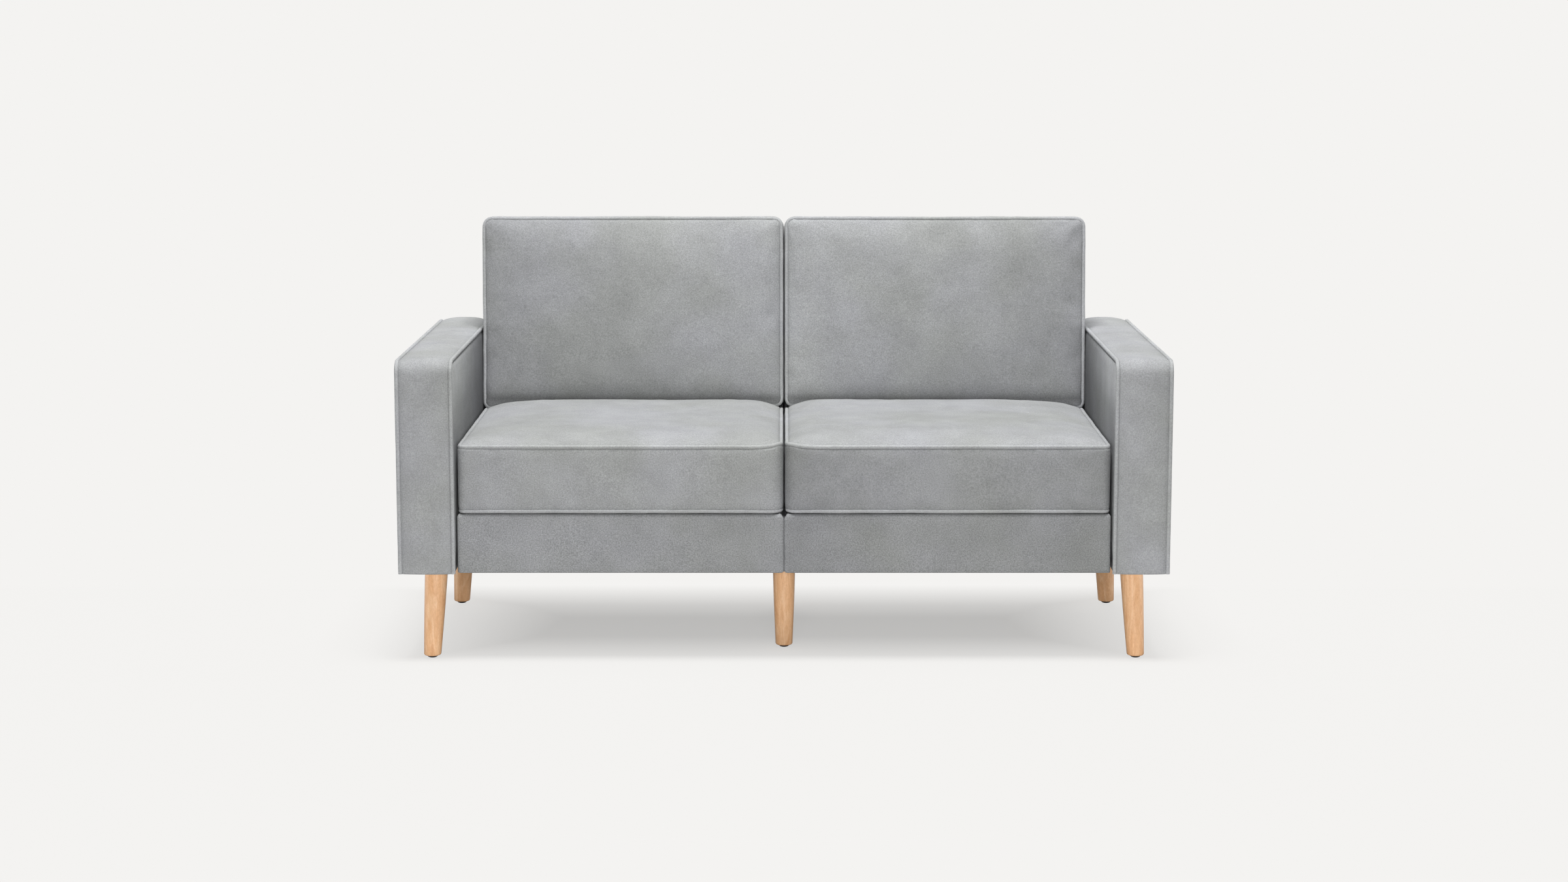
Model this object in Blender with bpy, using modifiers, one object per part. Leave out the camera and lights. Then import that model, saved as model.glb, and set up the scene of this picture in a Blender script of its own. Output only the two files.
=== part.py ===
"""Two-seater sofa on six tapered legs, with loose piped cushions.

Metres, +Z up. The sofa faces -Y and stands on z = 0, so left is -X for someone who looks at its front.
Depths are measured backwards from the front of the arms, under an empty that puts the middle of the
sofa's footprint at the origin.
"""

import math

import bmesh
import bpy
from mathutils import Matrix, Vector

# Overall form
leg_height = 0.178
arm_width = 0.114
arm_depth = 0.800
arm_height = 0.422
module_width = 0.643
module_seam = 0.001
arm_gap = 0.0045

# Fits between neighbours
touch_gap = 0.0003
weld_distance = 0.00001
overrun = 0.020

# Arms
arm_front_radius = 0.025
arm_rear_radius = 0.042
arm_crown = 0.006
arm_pad = 0.012
arm_board_thickness = 0.004
arm_post = 0.050
arm_bottom_rail = 0.055
arm_top_rail = 0.032

# Seat bases
base_setback = 0.008
arm_rear_reach = 0.109
base_height = 0.119
base_pad = 0.008
base_corner_radius = 0.006
base_top_round = 0.004
rail_thickness = 0.028
corner_block = 0.055
deck_thickness = 0.010
dust_cover_thickness = 0.0012

# Zigzag springs
springs_per_seat = 4
spring_edge_setback = 0.0827
spring_turns = 14
spring_wire_radius = 0.0018
spring_bar_half_length = 0.007
spring_rise = 0.014
clip_width = 0.016
clip_height = 0.022
clip_leaf = 0.0016
clip_lug_height = 0.007
clip_lug_reach = 0.008
clip_bar_setback = 0.0045

# Backs
back_rake = math.radians(6)
back_length = 0.600
back_thickness = 0.075
back_front_pad = 0.012
back_rear_pad = 0.008
back_top_radius = 0.018
back_post = 0.045
back_bottom_rail = 0.075
back_top_rail = 0.045
back_middle_rail = 0.045

# Seat cushions
cushion_seam_gap = 0.0015
seat_cushion_setback = 0.006
seat_cushion_rear_reach = 0.005
seat_cushion_boxing = 0.129
seat_cushion_crown = 0.0155
seat_cushion_belly = 0.0047
seat_crest_share = 0.4

# Back cushions
back_cushion_side_gap = 0.002
back_cushion_length = 0.392
back_cushion_boxing = 0.177
back_cushion_crown = 0.022
back_cushion_belly = 0.010
back_crest_share = 0.5

# Both kinds of cushion
cushion_corner_radius = 0.020
cushion_side_draw = 0.003
cushion_side_bulge = 0.0008
cushion_across_power = 8
cushion_station_shares = (0.03, 0.1, 0.25, 0.5, 0.75, 0.9, 0.97)

# Legs
leg_top_radius = 0.0228
leg_foot_radius = 0.0172
leg_foot_round = 0.003
leg_splay_out = math.radians(3.3)
leg_splay_fore = math.radians(3.0)
side_leg_inset = 0.069
front_leg_setback = 0.050
front_centre_leg_setback = 0.136
rear_leg_inset = 0.139
glide_radius = 0.0102
glide_height = 0.005
glide_round = 0.0015
leg_plate_radius = 0.032
leg_plate_thickness = 0.003
leg_barrel_radius = 0.006
leg_barrel_height = 0.014
stud_radius = 0.004
stud_length = 0.015

# Joining bolts
bolt_radius = 0.004
bolt_head_radius = 0.008
bolt_head_height = 0.005
bolt_nut_height = 0.0065
bolt_grip = 0.030
arm_bolt_height = 0.030
arm_bolt_setback = 0.180
arm_bolt_rear_inset = 0.181
base_bolt_height = 0.062
base_bolt_setback = 0.250
base_bolt_rear_inset = 0.211
back_bolt_height = 0.030
back_bolt_spread = 0.135

# Facets
arc_steps = 5
leg_steps = 16
glide_steps = 16
plate_steps = 16
bolt_steps = 10
turn_points = 4

# Levels and lines that several pieces share
arm_inner_x = module_seam / 2 + module_width + arm_gap
base_rear = arm_depth - arm_rear_reach
base_top = leg_height + base_height
back_front = base_rear + module_seam
rail_inset = base_pad + touch_gap
rail_top = base_top - deck_thickness - touch_gap
seat_cushion_width = module_seam / 2 + module_width - cushion_seam_gap
seat_cushion_depth = base_rear + seat_cushion_rear_reach - seat_cushion_setback
back_cushion_width = arm_inner_x - back_cushion_side_gap - cushion_seam_gap
seat_seam_height = base_top + touch_gap + seat_cushion_belly + seat_cushion_boxing
plate_underside = leg_height - touch_gap - leg_plate_thickness

SIDES = (("left", -1), ("right", 1))

# Flat outlines lie in the object's XY plane: this turns them to stand in the sofa's YZ plane
STANDING = Matrix(((0, 0, 1), (1, 0, 0), (0, 1, 0))).to_4x4()


def clear_scene():
    for item in list(bpy.data.objects):
        bpy.data.objects.remove(item)


def new_collection(name):
    collection = bpy.data.collections.new(name)
    bpy.context.scene.collection.children.link(collection)
    return collection


def make_material(name, colour, roughness, metallic=0.0):
    material = bpy.data.materials.new(name)
    material.use_nodes = True
    shader = material.node_tree.nodes["Principled BSDF"]
    shader.inputs["Base Color"].default_value = (*colour, 1)
    shader.inputs["Roughness"].default_value = roughness
    shader.inputs["Metallic"].default_value = metallic
    material.diffuse_color = (*colour, 1)
    return material


clear_scene()
parts = new_collection("two_seater_sofa")
hollows = new_collection("hollow_cutters")
drills = new_collection("drills")

fabric = make_material("grey_velvet", (0.40, 0.42, 0.43), 0.9)
beech = make_material("beech", (0.72, 0.49, 0.30), 0.45)
timber = make_material("frame_timber", (0.62, 0.47, 0.30), 0.7)
board = make_material("board", (0.42, 0.33, 0.24), 0.8)
steel = make_material("zinc_steel", (0.62, 0.63, 0.64), 0.35, 1.0)
spring_steel = make_material("spring_steel", (0.25, 0.26, 0.27), 0.4, 1.0)
platform_cloth = make_material("platform_cloth", (0.10, 0.10, 0.11), 0.95)
glide_plastic = make_material("glide_plastic", (0.02, 0.02, 0.02), 0.5)

# The empty that carries every piece, with its origin under the front of the arms
carrier = bpy.data.objects.new("front_line", None)
parts.objects.link(carrier)


def place(name, mesh, material, location=(0, 0, 0), rotation=None):
    """One piece of the sofa, under the carrier."""
    piece = bpy.data.objects.new(name, mesh)
    piece.location = location
    if rotation:
        piece.rotation_euler = rotation
    piece.parent = carrier
    mesh.materials.clear()
    mesh.materials.append(material)
    parts.objects.link(piece)
    return piece


def place_cutter(name, mesh, collection, location=(0, 0, 0), rotation=None):
    cutter = place(name, mesh, steel, location, rotation)
    parts.objects.unlink(cutter)
    collection.objects.link(cutter)
    cutter.hide_render = True
    cutter.display_type = "WIRE"
    return cutter


def boolean(piece, tool, operation="DIFFERENCE"):
    modifier = piece.modifiers.new(tool.name, "BOOLEAN")
    modifier.operation = operation
    modifier.object = tool


def drill(piece):
    """Opens the piece wherever a bolt or a leg's barrel passes through it."""
    modifier = piece.modifiers.new("drill", "BOOLEAN")
    modifier.operation = "DIFFERENCE"
    modifier.operand_type = "COLLECTION"
    modifier.collection = drills


def evaluated_mesh(source):
    """The source object's mesh with its modifiers applied; the source is then removed."""
    bpy.context.scene.collection.objects.link(source)
    bpy.context.view_layer.update()
    graph = bpy.context.evaluated_depsgraph_get()
    mesh = bpy.data.meshes.new_from_object(source.evaluated_get(graph))
    bpy.data.objects.remove(source)
    return mesh


def weld(mesh):
    bm = bmesh.new()
    bm.from_mesh(mesh)
    bmesh.ops.remove_doubles(bm, verts=bm.verts, dist=weld_distance)
    bmesh.ops.recalc_face_normals(bm, faces=bm.faces)
    bm.to_mesh(mesh)
    bm.free()


def rounded_outline(corners):
    """Points round an outline from its corners, each (x, y, radius); zero leaves a corner sharp."""
    points = []
    for index, (x, y, radius) in enumerate(corners):
        corner = Vector((x, y))
        if radius <= 0:
            points.append(corner)
            continue
        before = (Vector(corners[index - 1][:2]) - corner).normalized()
        after = (Vector(corners[(index + 1) % len(corners)][:2]) - corner).normalized()
        half_angle = before.angle(after) / 2
        centre = corner + (before + after).normalized() * radius / math.sin(half_angle)
        start = corner + before * radius / math.tan(half_angle) - centre
        end = corner + after * radius / math.tan(half_angle) - centre
        sweep = -start.angle_signed(end)
        for step in range(arc_steps + 1):
            points.append(centre + Matrix.Rotation(sweep * step / arc_steps, 2) @ start)
    return points


def rectangle(low_x, low_y, high_x, high_y, radius=0):
    return rounded_outline([(low_x, low_y, radius), (high_x, low_y, radius),
                            (high_x, high_y, radius), (low_x, high_y, radius)])


def slab(outlines, thickness):
    """A slab standing on z = 0 under a flat outline; any further outlines are its holes."""
    curve = bpy.data.curves.new("outline", "CURVE")
    curve.dimensions = "2D"
    curve.fill_mode = "BOTH"
    curve.extrude = thickness / 2
    for outline in outlines:
        spline = curve.splines.new("POLY")
        spline.points.add(len(outline) - 1)
        for point, (x, y) in zip(spline.points, outline):
            point.co = (x, y, 0, 1)
        spline.use_cyclic_u = True
    mesh = evaluated_mesh(bpy.data.objects.new("outline", curve))
    mesh.transform(Matrix.Translation((0, 0, thickness / 2)))
    weld(mesh)
    return mesh


def standing_slab(outlines, low_x, high_x):
    """A slab whose outlines lie in the YZ plane, between two values of x."""
    mesh = slab(outlines, high_x - low_x)
    mesh.transform(Matrix.Translation((low_x, 0, 0)) @ STANDING)
    return mesh


def loft(sections):
    """A closed body through outlines with the same number of points, with flat ends."""
    bm = bmesh.new()
    rings = [[bm.verts.new(point) for point in section] for section in sections]
    for ring, following in zip(rings, rings[1:]):
        for index, corner in enumerate(ring):
            bm.faces.new((ring[index - 1], corner, following[index], following[index - 1]))
    bm.faces.new(rings[0])
    bm.faces.new(rings[-1])
    bmesh.ops.recalc_face_normals(bm, faces=bm.faces)
    mesh = bpy.data.meshes.new("loft")
    bm.to_mesh(mesh)
    bm.free()
    return mesh


def turned(profile, steps, ring=False):
    """A profile of (radius, height) points, listed down its outer side, turned round the Z axis."""
    edges = [(index, index + 1) for index in range(len(profile) - 1)]
    if ring:
        edges.append((len(profile) - 1, 0))
    mesh = bpy.data.meshes.new("profile")
    mesh.from_pydata([(radius, 0, height) for radius, height in profile], edges, [])
    source = bpy.data.objects.new("profile", mesh)
    screw = source.modifiers.new("turn", "SCREW")
    screw.steps = steps
    screw.render_steps = steps
    screw.use_merge_vertices = True
    screw.merge_threshold = weld_distance
    body = evaluated_mesh(source)
    body.shade_smooth()
    body.set_sharp_from_angle(angle=math.radians(40))
    return body


def box(low, high):
    """A box from its lowest to its highest corner."""
    bm = bmesh.new()
    bmesh.ops.create_cube(bm, size=1)
    size = Vector(high) - Vector(low)
    bmesh.ops.scale(bm, verts=bm.verts, vec=size)
    bmesh.ops.translate(bm, verts=bm.verts, vec=(Vector(low) + Vector(high)) / 2)
    mesh = bpy.data.meshes.new("box")
    bm.to_mesh(mesh)
    bm.free()
    return mesh


def cylinder(radius, length, steps):
    """A cylinder along Z from z = 0."""
    bm = bmesh.new()
    bmesh.ops.create_cone(bm, cap_ends=True, segments=steps, radius1=radius, radius2=radius, depth=length)
    bmesh.ops.translate(bm, verts=bm.verts, vec=(0, 0, length / 2))
    mesh = bpy.data.meshes.new("cylinder")
    bm.to_mesh(mesh)
    bm.free()
    return mesh


def arm_outline(inset, bottom):
    """The arm's side view, a distance inside its faces, down to a level of its own."""
    top = leg_height + arm_height - inset
    return rounded_outline([
        (inset, bottom, 0),
        (arm_depth - inset, bottom, 0),
        (arm_depth - inset, top, arm_rear_radius - inset),
        (inset, top, arm_front_radius - inset),
    ])


def arm_span(side, inset):
    """The lower and higher x of the arm, a distance inside its faces."""
    inner = side * (arm_inner_x + inset)
    outer = side * (arm_inner_x + arm_width - inset)
    return min(inner, outer), max(inner, outer)


def make_arm(name, side):
    """Padded cover, timber frame and the board that closes the arm underneath."""
    low, high = arm_span(side, 0)
    crown_shares = (0, 0.75, 1, 0.75, 0)
    sections = []
    for index, crown_share in enumerate(crown_shares):
        x = low + (high - low) * index / (len(crown_shares) - 1)
        outline = arm_outline(-arm_crown * crown_share, leg_height)
        sections.append([(x, point.x, point.y) for point in outline])
    cover = place(f"arm_cover_{name}", loft(sections), fabric)
    hollow = standing_slab([arm_outline(arm_pad, leg_height - overrun)], *arm_span(side, arm_pad))
    boolean(cover, place_cutter(f"arm_hollow_{name}", hollow, hollows))

    fit = arm_pad + touch_gap
    frame_bottom = leg_height + arm_board_thickness + touch_gap
    window_low = frame_bottom + arm_bottom_rail
    window_high = leg_height + arm_height - fit - arm_top_rail
    post_middle = arm_depth / 2
    windows = [
        rectangle(fit + arm_post, window_low, post_middle - arm_post / 2, window_high),
        rectangle(post_middle + arm_post / 2, window_low, arm_depth - fit - arm_post, window_high),
    ]
    frame_mesh = standing_slab([arm_outline(fit, frame_bottom), *windows], *arm_span(side, fit))
    frame = place(f"arm_frame_{name}", frame_mesh, timber)

    low, high = arm_span(side, fit)
    board_mesh = slab([rectangle(low, fit, high, arm_depth - fit)], arm_board_thickness)
    closing_board = place(f"arm_bottom_{name}", board_mesh, board, (0, 0, leg_height))
    return cover, frame, closing_board


def base_rectangle(side, inset, radius=0):
    """The seat base in plan, a distance inside its faces."""
    inner = side * (module_seam / 2 + inset)
    outer = side * (module_seam / 2 + module_width - inset)
    return rectangle(min(inner, outer), base_setback + inset,
                     max(inner, outer), base_rear - inset, radius)


def round_top_edges(mesh, height, radius, keep_out):
    """Rounds the edges that lie at one height, but not those inside the opening."""
    bm = bmesh.new()
    bm.from_mesh(mesh)
    low = Vector(keep_out[0])
    high = Vector(keep_out[2])
    edges = []
    for edge in bm.edges:
        middle = (edge.verts[0].co + edge.verts[1].co) / 2
        inside = low.x <= middle.x <= high.x and low.y <= middle.y <= high.y
        level = all(abs(vert.co.z - height) < weld_distance for vert in edge.verts)
        if level and not inside and edge.calc_face_angle(0) > math.radians(60):
            edges.append(edge)
    bmesh.ops.bevel(bm, geom=edges, offset=radius, segments=2, profile=0.5, affect="EDGES")
    bm.to_mesh(mesh)
    bm.free()


def make_base(name, side):
    """Padded cover, rail frame with glued corner blocks, sprung platform and dust cover."""
    opening = base_rectangle(side, base_pad)
    cover_mesh = slab([base_rectangle(side, 0, base_corner_radius), opening], base_height)
    grown = base_rectangle(side, base_pad - weld_distance)
    round_top_edges(cover_mesh, base_height, base_top_round, grown)
    cover = place(f"base_cover_{name}", cover_mesh, fabric, (0, 0, leg_height))

    inner = rail_inset + rail_thickness
    corners = base_rectangle(side, inner)
    well = []
    for index, corner in enumerate(corners):
        before = (corners[index - 1] - corner).normalized() * corner_block
        after = (corners[(index + 1) % len(corners)] - corner).normalized() * corner_block
        well += [corner + before, corner + after]
    rail_bottom = leg_height + dust_cover_thickness + touch_gap
    frame_mesh = slab([base_rectangle(side, rail_inset), well], rail_top - rail_bottom)
    frame = place(f"base_frame_{name}", frame_mesh, timber, (0, 0, rail_bottom))

    deck_mesh = slab([base_rectangle(side, rail_inset)], deck_thickness)
    place(f"seat_deck_{name}", deck_mesh, platform_cloth, (0, 0, base_top - deck_thickness))
    dust_mesh = slab([base_rectangle(side, rail_inset)], dust_cover_thickness)
    place(f"dust_cover_{name}", dust_mesh, platform_cloth, (0, 0, leg_height))
    return cover, frame


def zigzag_points(span):
    """One sinuous spring from its front bar to its rear bar, bowed up in the middle."""
    pitch = span / spring_turns
    radius = pitch / 2
    flat = [(-spring_bar_half_length, 0)]
    for turn in range(spring_turns):
        side = 1 if turn % 2 == 0 else -1
        for step in range(turn_points):
            angle = -math.pi / 2 + math.pi * step / (turn_points - 1)
            x = side * (spring_bar_half_length + radius * math.cos(angle))
            flat.append((x, pitch * (turn + 1 / 2) + radius * math.sin(angle)))
    flat.append((-side * spring_bar_half_length, span))
    return [(x, y, spring_rise * (1 - (2 * y / span - 1) ** 2)) for x, y in flat]


def least_gap(points):
    """The least clear distance between stretches of the wire that aren't neighbours."""
    apart = turn_points + 1
    least = min((Vector(one) - Vector(other)).length
                for index, one in enumerate(points) for other in points[index + apart:])
    return least - 2 * spring_wire_radius


def make_spring_mesh():
    """The wire and its two end clips as one body, with the rail's inner face at y = 0."""
    rails_apart = base_rear - base_setback - 2 * (rail_inset + rail_thickness)
    bar_y = touch_gap + clip_leaf + clip_bar_setback
    points = zigzag_points(rails_apart - 2 * bar_y)
    print(f"zigzag spring: least gap to itself {least_gap(points) * 1000:.2f} mm")
    curve = bpy.data.curves.new("zigzag_wire", "CURVE")
    curve.dimensions = "3D"
    curve.bevel_depth = spring_wire_radius
    curve.bevel_resolution = 1
    curve.use_fill_caps = True
    spline = curve.splines.new("POLY")
    spline.points.add(len(points) - 1)
    for point, (x, y, z) in zip(spline.points, points):
        point.co = (x, y + bar_y, z, 1)
    mesh = evaluated_mesh(bpy.data.objects.new("zigzag_wire", curve))
    weld(mesh)

    wire = bpy.data.objects.new("zigzag_wire", mesh)
    half_width = clip_width / 2
    clips = []
    for end, away in ((touch_gap, 1), (rails_apart - touch_gap, -1)):
        leaf_y = sorted((end, end + away * clip_leaf))
        lug_y = sorted((end, end + away * (clip_leaf + clip_lug_reach)))
        leaf = box((-half_width, leaf_y[0], -clip_height / 2), (half_width, leaf_y[1], clip_height / 2))
        lug_half = spring_bar_half_length - spring_wire_radius
        lug = box((-lug_half, lug_y[0], -clip_lug_height / 2), (lug_half, lug_y[1], clip_lug_height / 2))
        for shape in (leaf, lug):
            clip = bpy.data.objects.new("clip", shape)
            bpy.context.scene.collection.objects.link(clip)
            boolean(wire, clip, "UNION")
            clips.append(clip)
    body = evaluated_mesh(wire)
    for clip in clips:
        bpy.data.objects.remove(clip)
    return body


def make_springs():
    mesh = make_spring_mesh()
    front_rail_face = base_setback + rail_inset + rail_thickness
    bar_height = rail_top - spring_wire_radius - spring_rise
    span = module_width - 2 * (rail_inset + rail_thickness + spring_edge_setback)
    for name, side in SIDES:
        middle = side * (module_seam + module_width) / 2
        for number in range(springs_per_seat):
            x = middle + span * (number / (springs_per_seat - 1) - 1 / 2)
            place(f"zigzag_spring_{name}_{number + 1}", mesh, spring_steel, (x, front_rail_face, bar_height))


def on_back(across, along):
    """A point of the leaning back: across its thickness from the front face, and up along the slope."""
    return (back_front + across * math.cos(back_rake) + along * math.sin(back_rake),
            leg_height - across * math.sin(back_rake) + along * math.cos(back_rake))


def along_at(across, height):
    """How far up the slope the back reaches a height above the floor."""
    return (height - leg_height + across * math.sin(back_rake)) / math.cos(back_rake)


def back_outline(front_inset, rear_inset, bottom, radius):
    """The leaning back from the side, cut level at the bottom."""
    front = front_inset
    rear = back_thickness - rear_inset
    top = back_length - rear_inset
    return rounded_outline([
        (*on_back(front, along_at(front, bottom)), 0),
        (*on_back(rear, along_at(rear, bottom)), 0),
        (*on_back(rear, top), radius),
        (*on_back(front, top), radius),
    ])


def make_back(name, side):
    """Padded cover, open underneath, and the timber frame inside it."""
    inner = side * module_seam / 2
    outer = side * (module_seam / 2 + module_width)
    low, high = min(inner, outer), max(inner, outer)
    cover_mesh = standing_slab([back_outline(0, 0, leg_height, back_top_radius)], low, high)
    cover = place(f"back_cover_{name}", cover_mesh, fabric)
    hollow_outline = back_outline(back_front_pad, back_rear_pad, leg_height - overrun, 0)
    hollow = standing_slab([hollow_outline], low + back_rear_pad, high - back_rear_pad)
    boolean(cover, place_cutter(f"back_hollow_{name}", hollow, hollows))

    fit = back_rear_pad + touch_gap
    front = back_front_pad + touch_gap
    depth = back_thickness - front - fit
    start = along_at(back_thickness, leg_height)
    end = back_length - fit
    post = back_post
    window_low = start + back_bottom_rail
    window_high = end - back_top_rail
    middle = (window_low + window_high) / 2
    outline = rectangle(low + fit, start, high - fit, end)
    windows = [
        rectangle(low + fit + post, window_low, high - fit - post, middle - back_middle_rail / 2),
        rectangle(low + fit + post, middle + back_middle_rail / 2, high - fit - post, window_high),
    ]
    frame_mesh = slab([outline, *windows], depth)
    lean = (math.pi / 2 - back_rake, 0, 0)
    frame = place(f"back_frame_{name}", frame_mesh, timber, (0, *on_back(front + depth, 0)), lean)
    return cover, frame


def dome(across_share, along_share, crest_share):
    """How far a panel stands up at a place, as a share of its crown."""
    across = 1 - abs(2 * across_share - 1) ** cushion_across_power
    reach = crest_share if along_share < crest_share else 1 - crest_share
    return across * (1 - ((along_share - crest_share) / reach) ** 2)


def cushion_mesh(size, crown, belly, crest_share, foot_slope=0):
    """A boxed cushion over z = 0: crowned upper panel, flat belly and sides drawn in between corners.

    The foot slope shifts the lower end along Y, from nothing at the belly to its whole at the crown.
    """
    width, length, boxing = size
    bm = bmesh.new()
    bmesh.ops.create_cube(bm, size=1)
    bmesh.ops.translate(bm, verts=bm.verts, vec=(1 / 2, 1 / 2, 1 / 2))
    cuts = [(axis, share) for axis in (0, 1) for share in cushion_station_shares] + [(2, 1 / 2)]
    for axis, share in cuts:
        normal = [0, 0, 0]
        normal[axis] = 1
        everything = bm.verts[:] + bm.edges[:] + bm.faces[:]
        bmesh.ops.bisect_plane(bm, geom=everything, plane_co=[share * n for n in normal], plane_no=normal)
    corner_pull = cushion_corner_radius * (1 - math.sqrt(1 / 2))
    for vert in bm.verts:
        u, v, w = vert.co
        edge_u = round(2 * u - 1) if u in (0, 1) else 0
        edge_v = round(2 * v - 1) if v in (0, 1) else 0
        if edge_u and edge_v:
            inward_u = inward_v = corner_pull
        else:
            inward_u = cushion_side_draw * (1 - (2 * v - 1) ** 2)
            inward_v = cushion_side_draw * (1 - (2 * u - 1) ** 2)
        if 0 < w < 1:
            inward_u -= cushion_side_bulge
            inward_v -= cushion_side_bulge
        x = (u - 1 / 2) * width - edge_u * inward_u
        y = v * length - edge_v * inward_v + (1 - v) * w * foot_slope
        z = belly + w * boxing
        inside = not edge_u and not edge_v
        if inside and w == 1:
            z += crown * dome(u, v, crest_share)
        if inside and w == 0:
            z = 0
        vert.co = (x, y, z)
    mesh = bpy.data.meshes.new("cushion")
    bm.to_mesh(mesh)
    bm.free()
    mesh.shade_smooth()
    mesh.set_sharp_from_angle(angle=math.radians(35))
    return mesh


def seat_top(y):
    """The height of the seat cushion's middle at a distance behind the front of the arms."""
    share = min((y - seat_cushion_setback) / seat_cushion_depth, 1)
    return seat_seam_height + seat_cushion_crown * dome(1 / 2, share, seat_crest_share)


def make_cushions():
    """Seat cushions lie on the decks; back cushions stand on them and lean on the backs."""
    seat_size = (seat_cushion_width, seat_cushion_depth, seat_cushion_boxing)
    seat_mesh = cushion_mesh(seat_size, seat_cushion_crown, seat_cushion_belly, seat_crest_share)

    # The back cushion's foot follows the chord of the seat's crown, raised by the crown's rise over it
    rear_y = on_back(-touch_gap, along_at(-touch_gap, seat_seam_height))[0]
    thickness = back_cushion_belly + back_cushion_boxing
    front_y = rear_y - thickness * math.cos(back_rake)
    rear_height = seat_top(rear_y)
    chord_share = (rear_y - front_y) / (seat_cushion_depth * (1 - seat_crest_share))
    lift = seat_cushion_crown * (chord_share / 2) ** 2 + touch_gap
    climb = seat_top(front_y) - rear_height - thickness * math.sin(back_rake)
    foot_slope = climb / math.cos(back_rake)
    foot = on_back(-touch_gap, along_at(-touch_gap, rear_height + lift))
    back_size = (back_cushion_width, back_cushion_length, back_cushion_boxing)
    back_mesh = cushion_mesh(back_size, back_cushion_crown, back_cushion_belly, back_crest_share, foot_slope)

    lean = (math.pi / 2 - back_rake, 0, 0)
    for name, side in SIDES:
        seat_x = side * (cushion_seam_gap + seat_cushion_width / 2)
        seat_z = base_top + touch_gap
        place(f"seat_cushion_{name}", seat_mesh, fabric, (seat_x, seat_cushion_setback, seat_z))
        back_x = side * (cushion_seam_gap + back_cushion_width / 2)
        place(f"back_cushion_{name}", back_mesh, fabric, (back_x, *foot), lean)


def splay(mesh, out, fore):
    """Leans a leg below its top: the foot moves sideways and forwards, and stays level."""
    top = plate_underside - touch_gap
    for vert in mesh.vertices:
        drop = max(top - vert.co.z, 0)
        vert.co.x += drop * math.tan(out)
        vert.co.y -= drop * math.tan(fore)


def make_leg(name, x, y, out, fore):
    """Turned beech leg with its stud, black glide and the steel plate that it screws into."""
    top = plate_underside - touch_gap
    foot = glide_height + touch_gap
    rounding = [(leg_foot_radius - leg_foot_round * (1 - math.cos(angle)),
                 foot + leg_foot_round * (1 - math.sin(angle)))
                for angle in (0, math.pi / 4, math.pi / 2)]
    profile = [(0, top + stud_length), (stud_radius, top + stud_length), (stud_radius, top),
               (leg_top_radius, top), *rounding, (0, foot)]
    leg_mesh = turned(profile, leg_steps)
    splay(leg_mesh, out, fore)
    place(f"leg_{name}", leg_mesh, beech, (x, y, 0))

    profile = [(0, glide_height), (glide_radius, glide_height), (glide_radius, glide_round),
               (glide_radius - glide_round, 0), (0, 0)]
    glide_mesh = turned(profile, glide_steps)
    drop = top - foot
    foot_x = x + drop * math.tan(out)
    foot_y = y - drop * math.tan(fore)
    place(f"glide_{name}", glide_mesh, glide_plastic, (foot_x, foot_y, 0))

    bore = stud_radius + touch_gap
    upper_face = leg_height - touch_gap
    barrel_top = upper_face + leg_barrel_height
    profile = [(bore, barrel_top), (leg_barrel_radius, barrel_top), (leg_barrel_radius, upper_face),
               (leg_plate_radius, upper_face), (leg_plate_radius, plate_underside), (bore, plate_underside)]
    place(f"leg_plate_{name}", turned(profile, plate_steps, ring=True), steel, (x, y, 0))

    hole_length = overrun + leg_barrel_height + touch_gap
    hole = cylinder(leg_barrel_radius + touch_gap, hole_length, plate_steps)
    place_cutter(f"barrel_hole_{name}", hole, drills, (x, y, leg_height - overrun))


def make_bolt(name, head_at, direction, length, nut=False):
    """A bolt from under its head along a direction, and the drill that clears its shank."""
    profile = [(0, bolt_head_height), (bolt_head_radius, bolt_head_height), (bolt_head_radius, 0),
               (bolt_radius, 0), (bolt_radius, -length)]
    if nut:
        profile += [(bolt_head_radius, -length), (bolt_head_radius, -length - bolt_nut_height),
                    (0, -length - bolt_nut_height)]
    else:
        profile.append((0, -length))
    turn = Vector(direction).to_track_quat("-Z", "Y")
    turn_angles = turn.to_euler()
    place(name, turned(profile, bolt_steps), steel, head_at, turn_angles)

    beyond = overrun if nut else touch_gap
    hole = cylinder(bolt_radius + touch_gap, overrun + length + beyond, bolt_steps)
    end = Vector(head_at) + Vector(direction) * (length + beyond)
    place_cutter(f"drill_{name}", hole, drills, end, turn_angles)


def make_legs():
    """Two legs under each arm and two under the seam between the bases."""
    rear_setback = base_rear - rear_leg_inset
    for place_name, setback, fore in (("front", front_leg_setback, leg_splay_fore),
                                      ("rear", rear_setback, -leg_splay_fore)):
        for name, side in SIDES:
            x = side * (arm_inner_x + arm_width - side_leg_inset)
            make_leg(f"{place_name}_{name}", x, setback, side * leg_splay_out, fore)
    for place_name, setback in (("front", front_centre_leg_setback), ("rear", rear_setback)):
        make_leg(f"{place_name}_centre", 0, setback, 0, 0)


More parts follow.
